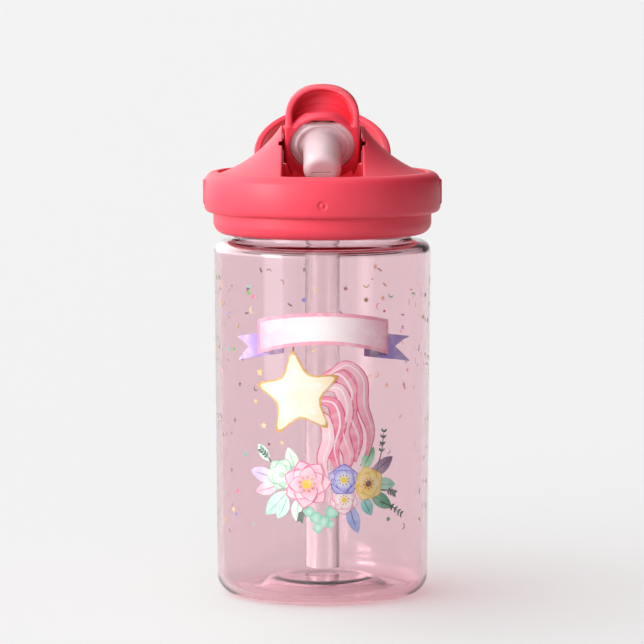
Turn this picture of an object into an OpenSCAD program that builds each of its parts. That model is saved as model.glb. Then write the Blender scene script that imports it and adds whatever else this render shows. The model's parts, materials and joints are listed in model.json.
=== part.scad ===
// Kids flip-valve water bottle: a clear bottle, a screw lid with a grip band
// and a carry loop, and a folding lever that holds a soft bite valve.
// Millimetres. +Z is up, the drinker is on the -Y side, and the origin is the
// centre of the foot, on the surface that the bottle stands on.

/* [Bottle] */
// Outer radius of the body just under the shoulder
body_top_r = 37.3; // [36.8:0.1:38]
// Outer radius of the body just above the foot
body_foot_r = 36.4; // [35.5:0.1:37]
// Wall thickness of the bottle
wall = 2.2; // [1.8:0.1:2.6]
// Height of the push-up in the middle of the base
push_up = 4.6; // [3:0.1:5]
// Outer radius of the bottle's neck
neck_r = 30.6; // [30.4:0.1:30.8]

/* [Lid] */
// Outer radius of the lid's skirt
skirt_r = 37.6; // [37.2:0.1:38]
// Outer radius of the grip band
band_r = 40.95; // [40:0.05:42]
// Number of upright grip ribs on each side of the band
rib_count = 5; // [3:1:7]
// Half width of the slot that the lever folds in
slot_half = 13.7; // [13.5:0.1:14]
// Tilt of the carry loop above level
loop_tilt = 38; // [34:1:40]

/* [Lever] */
// Height of the lever's pivot above the ground
pivot_z = 155.2; // [155:0.1:155.4]
// How far the pivot lies behind the bottle's axis
pivot_y = 6; // [5.8:0.1:6.2]
// How far the stowed mouthpiece points below level
nose_down = 33; // [31:1:35]
// Half width of the lever
lever_half = 12.6; // [12.2:0.1:12.7]
// Length of the mouthpiece in front of its seat
mouth_len = 15.4; // [14:0.1:15.8]
// Outer radius of the mouthpiece
mouth_r = 6.5; // [6:0.1:6.8]

/* [Hidden] */
$fn = 96;
e = 0.02;
big = 200;

// Colours, as the real object shows them
clear_pink = [0.93, 0.78, 0.81, 0.55];
coral = [0.98, 0.42, 0.48];
silicone = [0.93, 0.90, 0.89, 0.8];

// Heights on the bottle
foot_z = 6.6;
shoulder_z = 119.1;
shoulder_r = 3.6;
neck_foot_z = 123.0;
lip_z = 136.3;
neck_bore_r = neck_r - 2.4;

// The screw: one right-hand start
pitch = 4.5;
thread_crest_r = neck_r + 1.3;
thread_low_z = 127.6;
thread_turn = 450;
nut_crest_r = neck_r + 0.5;
nut_drop = 1.85;

// Heights in the lid
skirt_z = 124.9;
skirt_bore_r = neck_r + 1.7;
roof_low_z = 137.5;
roof_z = 139.5;
band_z = [132.4, 146.4];
deck_rim_r = 35.6;
deck_arc_r = 44;
deck_arc_c = [50.4, 186.9];
deck_wall = 2.2;
cheek = 2.9;
slot_back = 28;
slot_front_r = 33;

// The rotary valve under the lever
barrel_r = 5.2;
barrel_half = 7.9;
elbow_pin_r = 3;
elbow_pin_tip = 9.5;
port_r = 2.8;
seal_r = 4.3;
seal_z = 143;
tower_r = 6;
tower_z = 150.8;
tower_gap = 7.4;
straw_r = 6;
straw_bore_r = 5;
straw_z = 8.2;
stub_z = 125;
pin_r = 1.9;
pin_tip = 15.3;
vent_y = -16;
gasket_bore_r = 27.85;

// The mouthpiece's seat: centre of the ring's front rim
seat_y = -8.5;
seat_z = 155.3;
ring_r = 12.4;
ring_bore_r = 11.1;
disc_r = 10.95;
notch_half = 6.6;
nozzle_r = 4.6;

// Points on an arc about c from angle a0 to a1
function arc(c, r, a0, a1, n) =
    [for (i = [0:n]) c + r * [cos(a0 + (a1 - a0) * i / n), sin(a0 + (a1 - a0) * i / n)]];

// Points of a rounded tombstone top of half width w, between z0 and z1
function dome_top(w, z0, z1, n) =
    [for (i = [0:n]) let (a = 180 * i / n)
        [w * sign(cos(a)) * pow(abs(cos(a)), 0.94), z0 + (z1 - z0) * pow(abs(sin(a)), 0.94)]];

// A side outline, given as [y, z] points, swept to x = -half .. half
module side_plate(points, half) {
    rotate([90, 0, 90])
        translate([0, 0, -half])
            linear_extrude(height = 2 * half)
                polygon(points);
}

// Places its children on the mouthpiece's axis, with +Z pointing out of the mouth
module on_seat() {
    translate([0, seat_y, seat_z])
        rotate([90 + nose_down, 0, 0])
            children();
}

// A cylinder on the lever's pivot, from x0 to x1, and its mirror image
module pivot_pair(r, x0, x1) {
    for (s = [0, 1])
        mirror([s, 0, 0])
            translate([x0, pivot_y, pivot_z])
                rotate([0, 90, 0])
                    cylinder(r = r, h = x1 - x0);
}

// A helical ridge that starts at angle a0 and height z0. Its inner edge is at
// radius r_in and wide w_in, its outer edge at r_out and wide w_out. Towards
// both ends the crest fades into the wall that carries it.
module ridge(a0, turn, z0, r_in, w_in, r_out, w_out, crest_inside) {
    steps = floor(turn / 9);
    fade = 30;
    depth = r_out - r_in - 0.4;
    points = [for (i = [0:steps])
        let (a = turn * i / steps, k = 1 - max(0.06, min(1, a / fade, (turn - a) / fade)),
            ri = crest_inside ? r_in + depth * k : r_in,
            ro = crest_inside ? r_out : r_out - depth * k,
            z = z0 + pitch * a / 360)
        for (p = [[ri, -w_in / 2], [ro, -w_out / 2], [ro, w_out / 2], [ri, w_in / 2]])
            [p[0] * cos(a0 + a), p[0] * sin(a0 + a), z + p[1]]];
    sides = [for (i = [0:steps - 1], j = [0:3])
        let (a = 4 * i + j, b = 4 * i + (j + 1) % 4)
        for (t = [[a, b, b + 4], [a, b + 4, a + 4]]) t];
    last = 4 * steps;
    polyhedron(points, concat(sides, [[3, 2, 1], [3, 1, 0],
        [last, last + 1, last + 2], [last, last + 2, last + 3]]));
}

// The clear bottle: foot ring, push-up base, slightly flared wall, shoulder and threaded neck
module bottle_body() {
    foot_c = [body_foot_r - foot_z, foot_z];
    top_c = [body_top_r - shoulder_r, shoulder_z];
    outside = concat(
        [[0, push_up]],
        arc([0, push_up - 190], 190, 90 - 4, 90 - 7, 3),
        [[24.6, 0]],
        arc(foot_c, foot_z, -90, 0, 9),
        arc(top_c, shoulder_r, 0, 86, 8),
        [[neck_r + 0.9, neck_foot_z], [neck_r + 0.25, neck_foot_z + 0.25], [neck_r, neck_foot_z + 0.9]],
        arc([neck_r - 1, lip_z - 1], 1, 0, 90, 4));
    inside = concat(
        arc([neck_bore_r + 0.7, lip_z - 0.7], 0.7, 90, 180, 3),
        [[neck_bore_r, neck_foot_z - 1], [neck_bore_r + 0.4, neck_foot_z - 2.1]],
        arc([body_top_r - wall - 2, shoulder_z - 0.3], 2, 85, 0, 5),
        arc([foot_c[0], foot_z + 0.2], foot_z - wall + 0.2, 0, -90, 7),
        [[24, 3.0]],
        arc([0, push_up + wall - 190], 190, 90 - 6, 90 - 3, 2),
        [[0, push_up + wall]]);
    color(clear_pink) {
        union() {
            rotate_extrude()
                polygon(concat(outside, inside));
            ridge(0, thread_turn, thread_low_z, neck_r - 0.4, 2.9, thread_crest_r, 1.2, false);
        }
    }
}

// The drinking straw, pushed over the lid's stub and reaching down to the base
module straw() {
    color(clear_pink)
        translate([0, pivot_y, straw_z])
            difference() {
                cylinder(r = straw_r, h = roof_low_z - 0.1 - straw_z);
                translate([0, 0, -e])
                    cylinder(r = straw_bore_r, h = big);
            }
}

// The flat ring that seals the lid's roof on the bottle's lip
module lid_gasket() {
    color(silicone)
        translate([0, 0, lip_z + 0.05])
            difference() {
                cylinder(r = skirt_bore_r - 0.4, h = roof_low_z - lip_z - 0.1);
                translate([0, 0, -e])
                    cylinder(r = gasket_bore_r, h = 5);
            }
}

// The lid's working part: threaded skirt, roof, plug ring, valve port and straw stub
module threaded_cup() {
    corner = 4.4;
    skin = concat(
        [[skirt_bore_r + 0.7, skirt_z]],
        arc([skirt_r - corner, skirt_z + corner], corner, -80, 0, 8),
        [[skirt_r, roof_z], [0, roof_z], [0, roof_low_z],
            [25.6, roof_low_z], [25.6, 134.1], [26.1, 133.6], [27.1, 133.6], [27.6, 134.4],
            [27.6, roof_low_z],
            [skirt_bore_r, roof_low_z], [skirt_bore_r, skirt_z + 0.8]]);
    color(coral)
        difference() {
            union() {
                rotate_extrude()
                    polygon(skin);
                ridge(90, 360, thread_low_z + pitch / 4 - nut_drop, nut_crest_r, 1.2,
                    skirt_bore_r + 0.4, 2.9, true);
                translate([0, pivot_y, roof_z - e])
                    cylinder(r = tower_r, h = tower_z - roof_z);
                translate([0, pivot_y, stub_z])
                    cylinder(r = straw_bore_r - 0.03, h = roof_low_z - stub_z + e);
            }
            translate([0, pivot_y, 100])
                cylinder(r = port_r, h = big);
            translate([0, pivot_y, seal_z])
                cylinder(r = seal_r + 0.03, h = big);
            translate([-big / 2, pivot_y, pivot_z])
                rotate([0, 90, 0])
                    cylinder(r = barrel_r + 0.12, h = big);
            translate([0, vent_y, 100])
                cylinder(r = 1.6, h = big);
        }
}

// The umbrella valve that lets air in while the child drinks
module vent_valve() {
    color(silicone)
        translate([0, vent_y, 0])
            rotate_extrude()
                polygon([[0, 135.6], [0.9, 135.6], [1.6, 136.3], [4.0, 137.0], [4.0, 137.42],
                    [1.5, 137.42], [1.5, roof_z + 0.05], [2.2, roof_z + 0.05], [2.0, roof_z + 0.7],
                    [1.0, roof_z + 1.5], [0, roof_z + 1.5]]);
}

// The soft sleeve between the port and the rotary barrel
module port_seal() {
    color(silicone)
        difference() {
            translate([0, pivot_y, seal_z + 0.02])
                cylinder(r = seal_r, h = tower_z - 0.2 - seal_z);
            translate([0, pivot_y, 100])
                cylinder(r = port_r, h = big);
            translate([-big / 2, pivot_y, pivot_z])
                rotate([0, 90, 0])
                    cylinder(r = barrel_r + 0.04, h = big);
        }
}

// The concave cone of the deck as a solid, from the roof to the top of its flank.
// inset draws the flank inwards, which gives the hollow under the deck.
module deck_cone(inset) {
    arc_r = deck_arc_r + inset;
    low = 180 + acos((deck_arc_c[0] - deck_rim_r + inset) / arc_r);
    high = 180 + acos((deck_arc_c[0] - 12) / arc_r);
    rotate_extrude()
        polygon(concat(
            [[0, roof_z], [deck_rim_r - inset, roof_z]],
            arc(deck_arc_c, arc_r, low, high, 9),
            [[0, deck_arc_c[1] + arc_r * sin(high)]]));
}

// The upper moulding of the lid: a concave cone, slotted for the lever
module cap_deck() {
    wall_out = slot_half + cheek;
    channel = pin_tip - 0.4;
    color(coral)
        difference() {
            union() {
                difference() {
                    deck_cone(0);
                    translate([0, 0, -e])
                        deck_cone(deck_wall);
                }
                intersection() {
                    deck_cone(0);
                    translate([-wall_out, -33, roof_z])
                        cube([2 * wall_out, 33 + slot_back + deck_wall, 60]);
                }
            }
            intersection() {
                translate([-slot_half, -40, roof_z - e])
                    cube([2 * slot_half, 40 + slot_back, 60]);
                translate([0, 0, roof_z - 1])
                    cylinder(r = slot_front_r, h = 60);
            }
            pivot_pair(pin_r + 0.06, slot_half - 1, pin_tip + 0.2);
            translate([0, pivot_y, pivot_z])
                rotate([-4, 0, 0])
                    translate([-channel, -50, -pin_r - 0.1])
                        cube([2 * channel, 50, 2 * pin_r + 0.2]);
        }
}

// The thick ring that the hand turns the lid by
module grip_band() {
    low = band_z[0];
    top = band_z[1];
    side = concat(
        arc([band_r - 2.2, low + 1.7], 1.7, -80, -12, 4),
        arc([band_r - 30, (low + top) / 2 - 1], 30, -8, 6, 8),
        arc([band_r - 3.6, top - 3.0], 3.0, 12, 84, 6));
    groove_r = deck_rim_r + 0.4;
    color(coral)
        difference() {
            union() {
                rotate_extrude()
                    polygon(concat([[skirt_r + 0.05, low]], side,
                        [[groove_r + 0.5, top], [groove_r, top - 0.5], [groove_r, roof_z + 0.05],
                            [skirt_r + 0.05, roof_z + 0.05]]));
                for (s = [0, 180], i = [0:rib_count - 1])
                    rotate([0, 0, s + (i - (rib_count - 1) / 2) * 4.2])
                        translate([band_r - 0.42, 0, low + 3])
                            cylinder(r = 0.7, h = 8);
            }
            translate([0, -band_r - 0.2, (low + top) / 2 - 2.4])
                rotate([-90, 0, 0])
                    cylinder(r = 1.1, h = 0.55);
        }
}

// The strap behind the lever, welded to the deck at both ends
module carry_loop() {
    loop_r = 23.8;
    lever_gap = slot_half + 0.6;
    color(coral)
        difference() {
            translate([0, 21.5, 150.2])
                rotate([loop_tilt, 0, 0])
                    rotate_extrude()
                        polygon([[loop_r - 1.7, -4.6], [loop_r - 0.3, -4.6], [loop_r, -4.2],
                            [loop_r, 1.9], [loop_r - 0.5, 2.4], [loop_r - 1.9, 2.4],
                            [loop_r - 2.4, 1.9], [loop_r - 2.4, 0.3], [loop_r - 1.7, -0.3]]);
            deck_cone(0);
            translate([-big / 2, -big / 2, 0])
                cube([big, big, roof_z + 1]);
            translate([-lever_gap, -20, 100])
                cube([2 * lever_gap, 45, 100]);
        }
}

// The thumb lever: a ring that holds the mouthpiece, two cheeks and a scooped tab
module flip_lever() {
    up = [-sin(nose_down), cos(nose_down)];
    seat = [seat_y, seat_z];
    pivot = [pivot_y, pivot_z];
    hub_r = 6.6;
    tip = [1.5, 176.3];
    cheek_side = concat(
        [seat - 13.4 * up, seat + 8.1 * up],
        [[-12.6, 166], [-11.2, 169.4], [-8, 172.6], [-3.5, 175], tip],
        [[3.2, 175.9], [3.9, 174.8], [4.6, 170], [7.8, 164]],
        arc(pivot, hub_r - 0.5, 20, -110, 9));
    spoon = concat(
        [seat + 12.2 * up, [-14.3, 166.9], [-9, 166.9], [-5.5, 167.6], [-2.2, 169.8], [-0.1, 173]],
        [tip, [3.2, 175.9], [3.9, 174.8], [2.9, 171.4], [0.2, 168], [-3.6, 165.6]],
        [[-8.5, 164.7], [-11.4, 164.6]]);
    below_hood = [[-30, 130], [-30, 166.4], [-14.3, 166.9], [-5, 166.9], [20, 150], [20, 130]];
    outline = concat(dome_top(lever_half, 165.6, 176.4, 20),
        [[-lever_half, 152], [-lever_half + 0.4, 149], [-lever_half + 1.2, 146], [-9.6, 142.4],
            [9.6, 142.4], [lever_half - 1.2, 146], [lever_half - 0.4, 149], [lever_half, 152]]);
    inside = concat(dome_top(lever_half - 2.3, 165.6, 174.4, 20),
        [[-lever_half + 2.3, 140], [lever_half - 2.3, 140]]);
    color(coral)
        difference() {
            union() {
                intersection() {
                    union() {
                        difference() {
                            side_plate(cheek_side, lever_half);
                            rotate([90, 0, 0])
                                translate([0, 0, -40])
                                    linear_extrude(height = 80)
                                        polygon(inside);
                        }
                        side_plate(spoon, lever_half - 2.3 + e);
                        on_seat()
                            intersection() {
                                translate([0, 0, -3.4])
                                    cylinder(r = 14.4, h = 3.4);
                                translate([-20, -22, -5])
                                    cube([40, 30, 10]);
                            }
                        on_seat()
                            intersection() {
                                translate([0, 0, -3])
                                    cylinder(r = 13.7, h = 2.3);
                                translate([-20, 4, -5])
                                    cube([40, 20, 10]);
                            }
                    }
                    rotate([90, 0, 0])
                        translate([0, 0, -40])
                            linear_extrude(height = 80)
                                polygon(outline);
                }
                intersection() {
                    on_seat()
                        translate([0, 0, -4.2])
                            cylinder(r = ring_r, h = 4.2);
                    side_plate(below_hood, 20);
                }
                pivot_pair(hub_r, barrel_half + 0.15, slot_half - 0.2);
                pivot_pair(pin_r, lever_half - 1, pin_tip);
            }
            on_seat()
                translate([0, 0, -3.3])
                    cylinder(r = ring_bore_r, h = 20);
            on_seat()
                translate([0, 0, -5])
                    cylinder(r = 9.6, h = 20);
            pivot_pair(elbow_pin_r + 0.03, 0, elbow_pin_tip + 0.2);
            translate([-tower_gap, pivot_y - tower_r - 0.9, 130])
                cube([2 * tower_gap, 30, 23]);
        }
}

// The clear rotary elbow: the barrel that shuts the port, and the nozzle under the bite valve
module spout_elbow() {
    color(clear_pink)
        difference() {
            union() {
                pivot_pair(barrel_r, -e, barrel_half);
                pivot_pair(elbow_pin_r, barrel_half - 0.9, elbow_pin_tip);
                difference() {
                    translate([0, pivot_y, pivot_z])
                        rotate([90, 0, 0])
                            cylinder(r = 4.2, h = pivot_y - seat_y);
                    on_seat()
                        translate([0, 0, -2.1])
                            cylinder(r = 14, h = 20);
                }
                on_seat() {
                    translate([0, 0, -3.2])
                        cylinder(r = disc_r, h = 1.2);
                    translate([0, 0, -3])
                        cylinder(r = nozzle_r, h = mouth_len - 0.5);
                }
            }
            translate([0, pivot_y + 20, pivot_z])
                rotate([90, 0, 0])
                    cylinder(r = port_r, h = pivot_y + 20 - seat_y);
            on_seat()
                translate([0, 0, -0.6])
                    cylinder(r = port_r, h = 40);
            translate([-tower_gap, pivot_y - tower_r - 0.9, 130])
                cube([2 * tower_gap, 3, tower_z + 0.2 - 130]);
        }
}

// The soft bite valve: a collar in the lever's ring and a domed mouthpiece with a slit
module bite_valve() {
    tip_r = 2.6;
    bore_r = nozzle_r + 0.05;
    slit = [6.4, 0.4];
    color(silicone)
        on_seat()
            difference() {
                rotate_extrude()
                    polygon(concat(
                        [[bore_r, -1.9], [disc_r + 0.1, -1.9], [disc_r + 0.1, -0.7], [disc_r - 0.3, -0.4],
                            [mouth_r + 1, -0.4], [mouth_r + 0.2, 0.2], [mouth_r, 1.2]],
                        arc([mouth_r - tip_r, mouth_len - tip_r], tip_r, 0, 90, 5),
                        [[0, mouth_len], [0, mouth_len - 1.6], [bore_r, mouth_len - 2.4]]));
                translate([-slit[0] / 2, -slit[1] / 2, mouth_len - 4])
                    cube([slit[0], slit[1], 8]);
                difference() {
                    translate([-notch_half, 8.6, -5])
                        cube([2 * notch_half, 6, 20]);
                    translate([0, 0, -6])
                        cylinder(r = 8.6, h = 30);
                }
            }
}

bottle_body();
straw();
lid_gasket();
threaded_cup();
vent_valve();
port_seal();
cap_deck();
grip_band();
carry_loop();
flip_lever();
spout_elbow();
bite_valve();
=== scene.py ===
"""Looks of a kids flip-valve water bottle.

A clear pink copolyester bottle with a print on its wall, a coral screw lid
with a grip band and a carry strap, and a thumb lever that holds a soft
silicone mouthpiece. Shapes are worked out in millimetres and turned to
metres when their mesh is made.
"""

import json
import math
import random

import bpy
import numpy as np
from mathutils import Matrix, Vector
from mathutils.geometry import delaunay_2d_cdt

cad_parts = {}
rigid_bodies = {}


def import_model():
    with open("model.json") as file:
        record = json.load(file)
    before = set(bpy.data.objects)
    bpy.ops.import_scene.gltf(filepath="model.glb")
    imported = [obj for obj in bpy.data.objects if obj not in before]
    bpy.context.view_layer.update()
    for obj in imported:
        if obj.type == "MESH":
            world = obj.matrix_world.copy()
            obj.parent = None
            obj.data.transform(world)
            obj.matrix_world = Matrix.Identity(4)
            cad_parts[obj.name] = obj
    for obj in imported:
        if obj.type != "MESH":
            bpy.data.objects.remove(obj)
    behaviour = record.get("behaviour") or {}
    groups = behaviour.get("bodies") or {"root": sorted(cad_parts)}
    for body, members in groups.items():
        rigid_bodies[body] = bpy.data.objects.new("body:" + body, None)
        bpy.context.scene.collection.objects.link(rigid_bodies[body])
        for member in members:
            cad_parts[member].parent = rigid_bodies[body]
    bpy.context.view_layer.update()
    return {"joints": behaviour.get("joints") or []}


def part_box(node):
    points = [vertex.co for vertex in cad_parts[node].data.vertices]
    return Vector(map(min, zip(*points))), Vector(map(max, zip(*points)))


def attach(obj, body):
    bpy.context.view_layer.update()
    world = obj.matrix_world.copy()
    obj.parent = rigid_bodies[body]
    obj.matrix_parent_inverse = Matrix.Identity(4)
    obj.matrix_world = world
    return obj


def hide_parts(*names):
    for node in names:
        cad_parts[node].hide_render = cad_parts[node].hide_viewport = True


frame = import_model()

MM = 0.001


def span(node):
    """Lowest and highest corner of a CAD node, in millimetres."""
    return [Vector(corner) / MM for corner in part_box(node)]


joint = {j["name"]: j for j in frame["joints"]}
# The lever's axis.
PIVOT_Y, PIVOT_Z = (c / MM for c in joint["lever_flip"]["pos_m"][1:])
# The bottle's lip, and the lid's roof over the lower edge of its band.
LIP_Z = span("bottle_body")[1].z
ROOF_Z = span("grip_band")[0].z + 7.1
# The lid's skirt, and the neck that it screws on to.
SKIRT_Z = span("threaded_cup")[0].z
SKIRT_R = 37.6
NECK_R = 30.6
# The screw: one right-hand thread from this height, over this many degrees.
PITCH, THREAD_Z, THREAD_TURN = 4.5, 127.6, 450
# The mouthpiece: how far it points down when stowed, its seat and its length.
NOSE_DOWN = math.radians(33)
SEAT_Y, SEAT_Z = -8.5, 155.3
MOUTH_LEN = 15.4
# The bore that the drink takes through stub, port and elbow.
BORE_R = 2.8
# Half the width of the deck's slot for the lever.
SLOT_HALF = 13.7
# The bottle's wall: its radius widens by the taper from foot to shoulder.
FOOT_R, TOP_R, TAPER = 36.4, 37.3, 0.9
FOOT_Z, SHOULDER_Z, WALL_RISE = 6.6, 119.1, 112.5
# Mean radius of the wall, which turns millimetres along the print to an angle.
PRINT_R = 37.0


# ---------------------------------------------------------------- materials


def linear(code):
    """An sRGB hex colour as the linear colour that shaders work in."""
    parts = [int(code[i : i + 2], 16) / 255 for i in (1, 3, 5)]
    return [c / 12.92 if c <= 0.04045 else ((c + 0.055) / 1.055) ** 2.4 for c in parts] + [1.0]


def add(tree, kind, settings=(), links=()):
    """Adds one node with its settings and its links from other nodes' outputs."""
    new = tree.nodes.new(kind)
    for key, value in dict(settings).items():
        if isinstance(key, int) or key in new.inputs:
            new.inputs[key].default_value = value
        else:
            setattr(new, key, value)
    for key, source in dict(links).items():
        tree.links.new(source, new.inputs[key])
    return new


def new_finish(name):
    """An empty material, its node tree and the place that its shader goes to."""
    made = bpy.data.materials.new(name)
    made.use_nodes = True
    made.node_tree.nodes.clear()
    return made, made.node_tree, add(made.node_tree, "ShaderNodeOutputMaterial")


def coral_polypropylene():
    # Injection-moulded polypropylene from a spark-eroded tool: a soft satin
    # sheen over an even coral, a little light carried under the skin.
    made, tree, out = new_finish("moulded_coral_polypropylene")
    place = add(tree, "ShaderNodeTexCoord")
    # The eroded grain is about 0.05 mm; it is drawn at 0.35 mm so that it shows.
    grain = add(tree, "ShaderNodeTexNoise", {"Scale": 1 / 0.00035, "Detail": 2.0},
        {"Vector": place.outputs["Object"]})
    # Flow of the melt clouds the colour over some 15 mm.
    cloud = add(tree, "ShaderNodeTexNoise", {"Scale": 1 / 0.015, "Detail": 2.0},
        {"Vector": place.outputs["Object"]})
    colour = add(
        tree,
        "ShaderNodeMix",
        {"data_type": "RGBA", 6: linear("#EC3D51"), 7: linear("#F0495D")},
        {0: cloud.outputs[0]},
    )
    rough = add(tree, "ShaderNodeMapRange", {"To Min": 0.36, "To Max": 0.5}, {0: grain.outputs[0]})
    bump = add(tree, "ShaderNodeBump", {"Strength": 0.12, "Distance": 0.00004},
        {"Height": grain.outputs[0]})
    skin = add(
        tree,
        "ShaderNodeBsdfPrincipled",
        {"IOR": 1.49, "Specular IOR Level": 0.42, "Subsurface Weight": 0.12,
        "Subsurface Radius": (1.0, 0.28, 0.25), "Subsurface Scale": 0.0015},
        {"Base Color": colour.outputs[2], "Roughness": rough.outputs[0], "Normal": bump.outputs[0]},
    )
    tree.links.new(skin.outputs[0], out.inputs["Surface"])
    return made


def clear_copolyester(name, stain, tint, density, low_rough, high_rough, wave_mm):
    # Clear copolyester: glassy, with a pale stain on the skin, a tint that
    # deepens with the thickness looked through, and the slow waviness that
    # the mould leaves.
    made, tree, out = new_finish(name)
    place = add(tree, "ShaderNodeTexCoord")
    wave = add(tree, "ShaderNodeTexNoise", {"Scale": 1000 / wave_mm, "Detail": 1.0},
        {"Vector": place.outputs["Object"]})
    # Handling haze in patches of a few millimetres.
    haze = add(tree, "ShaderNodeTexNoise", {"Scale": 1 / 0.004, "Detail": 3.0},
        {"Vector": place.outputs["Object"]})
    rough = add(tree, "ShaderNodeMapRange", {"To Min": low_rough, "To Max": high_rough},
        {0: haze.outputs[0]})
    bump = add(tree, "ShaderNodeBump", {"Strength": 0.15, "Distance": 0.0002},
        {"Height": wave.outputs[0]})
    skin = add(
        tree,
        "ShaderNodeBsdfPrincipled",
        {"Base Color": linear(stain), "IOR": 1.54, "Transmission Weight": 1.0},
        {"Roughness": rough.outputs[0], "Normal": bump.outputs[0]},
    )
    # Lamp light passes straight on, so the shadow and the floor under the
    # base stay pale, with a little lost at each wall.
    ray = add(tree, "ShaderNodeLightPath")
    passing = add(
        tree,
        "ShaderNodeMath",
        {"operation": "MAXIMUM"},
        {0: ray.outputs["Is Shadow Ray"], 1: ray.outputs["Is Diffuse Ray"]},
    )
    straight = add(tree, "ShaderNodeBsdfTransparent", {"Color": linear("#FCFBFB")})
    both = add(tree, "ShaderNodeMixShader", (),
        {0: passing.outputs[0], 1: skin.outputs[0], 2: straight.outputs[0]})
    depth = add(tree, "ShaderNodeVolumeAbsorption", {"Color": linear(tint), "Density": density})
    tree.links.new(both.outputs[0], out.inputs["Surface"])
    tree.links.new(depth.outputs[0], out.inputs["Volume"])
    return made


def moulded_silicone(name, tint, through, low_rough, high_rough):
    # Food-grade silicone rubber: soft and milky, a matt skin, light goes
    # through and spreads.
    made, tree, out = new_finish(name)
    place = add(tree, "ShaderNodeTexCoord")
    # The mould's polish marks are finer than 0.1 mm and are drawn at 0.5 mm.
    grain = add(tree, "ShaderNodeTexNoise", {"Scale": 1 / 0.0005, "Detail": 2.0},
        {"Vector": place.outputs["Object"]})
    milk = add(tree, "ShaderNodeTexNoise", {"Scale": 1 / 0.006, "Detail": 2.0},
        {"Vector": place.outputs["Object"]})
    colour = add(
        tree, "ShaderNodeMix", {"data_type": "RGBA", 6: linear(tint[0]), 7: linear(tint[1])},
        {0: milk.outputs[0]}
    )
    rough = add(tree, "ShaderNodeMapRange", {"To Min": low_rough, "To Max": high_rough},
        {0: grain.outputs[0]})
    bump = add(tree, "ShaderNodeBump", {"Strength": 0.08, "Distance": 0.00003},
        {"Height": grain.outputs[0]})
    skin = add(
        tree,
        "ShaderNodeBsdfPrincipled",
        {
            "IOR": 1.41,
            "Transmission Weight": through,
            "Subsurface Weight": 0.4,
            "Subsurface Radius": (1.0, 0.85, 0.85),
            "Subsurface Scale": 0.002,
        },
        {"Base Color": colour.outputs[2], "Roughness": rough.outputs[0], "Normal": bump.outputs[0]},
    )
    tree.links.new(skin.outputs[0], out.inputs["Surface"])
    return made


def printed_inks():
    # UV-cured inks on the wall: opaque pastel colours with the blooms and
    # pale pools of a watercolour, and a low gloss.
    made, tree, out = new_finish("uv_cured_ink")
    place = add(tree, "ShaderNodeTexCoord")
    colour = add(tree, "ShaderNodeVertexColor", {"layer_name": "ink"})
    bloom = add(tree, "ShaderNodeTexNoise", {"Scale": 1 / 0.0035, "Detail": 4.0, "Distortion": 0.6},
        {"Vector": place.outputs["Object"]})
    # Droplets of the print head are 0.08 mm and are drawn at 0.3 mm.
    grain = add(tree, "ShaderNodeTexNoise", {"Scale": 1 / 0.0003, "Detail": 1.0},
        {"Vector": place.outputs["Object"]})
    pale = add(tree, "ShaderNodeMapRange",
        {"From Min": 0.45, "From Max": 0.75, "To Min": 0.0, "To Max": 0.35}, {0: bloom.outputs[0]})
    washed = add(
        tree,
        "ShaderNodeMix",
        {"data_type": "RGBA", 7: linear("#FFF6F4")},
        {0: pale.outputs[0], 6: colour.outputs[0]},
    )
    rough = add(tree, "ShaderNodeMapRange", {"To Min": 0.35, "To Max": 0.55}, {0: grain.outputs[0]})
    bump = add(tree, "ShaderNodeBump", {"Strength": 0.1, "Distance": 0.00002},
        {"Height": grain.outputs[0]})
    skin = add(
        tree,
        "ShaderNodeBsdfPrincipled",
        {"IOR": 1.5},
        {"Base Color": washed.outputs[2], "Roughness": rough.outputs[0], "Normal": bump.outputs[0]},
    )
    tree.links.new(skin.outputs[0], out.inputs["Surface"])
    return made


def studio_paper():
    # Seamless background paper: matt, off-white, a faint tooth.
    made, tree, out = new_finish("seamless_paper")
    place = add(tree, "ShaderNodeTexCoord")
    tooth = add(tree, "ShaderNodeTexNoise", {"Scale": 1 / 0.002, "Detail": 3.0},
        {"Vector": place.outputs["Object"]})
    rough = add(tree, "ShaderNodeMapRange", {"To Min": 0.85, "To Max": 0.95}, {0: tooth.outputs[0]})
    # A real sheet is small, so it throws less light back at the object than
    # this wide one would.
    ray = add(tree, "ShaderNodeLightPath")
    shade = add(
        tree,
        "ShaderNodeMix",
        {"data_type": "RGBA", 6: linear("#EFEFEF"), 7: linear("#BCBCBC")},
        {0: ray.outputs["Is Diffuse Ray"]},
    )
    skin = add(
        tree,
        "ShaderNodeBsdfPrincipled",
        {"Specular IOR Level": 0.1},
        {"Base Color": shade.outputs[2], "Roughness": rough.outputs[0]},
    )
    tree.links.new(skin.outputs[0], out.inputs["Surface"])
    return made


CORAL = coral_polypropylene()
BODY_CLEAR = clear_copolyester("blown_pink_copolyester", "#F5E9ED", "#F8849F", 50, 0.015, 0.04, 30)
STRAW_CLEAR = clear_copolyester(
    "extruded_clear_copolyester", "#FFFFFF", "#FAA5B5", 20, 0.14, 0.24, 12
)
ELBOW_CLEAR = clear_copolyester("moulded_clear_copolyester", "#FBF2F4", "#F8A0B0", 50, 0.05, 0.1, 8)
MOUTH_SILICONE = moulded_silicone(
    "soft_mouthpiece_silicone", ("#F9DAE0", "#FBE8EB"), 0.4, 0.2, 0.28
)
SEAL_SILICONE = moulded_silicone("seal_silicone", ("#EFE9E8", "#F8F4F3"), 0.35, 0.4, 0.55)
INK = printed_inks()
PAPER = studio_paper()


# ------------------------------------------------------------ shape helpers


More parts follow.
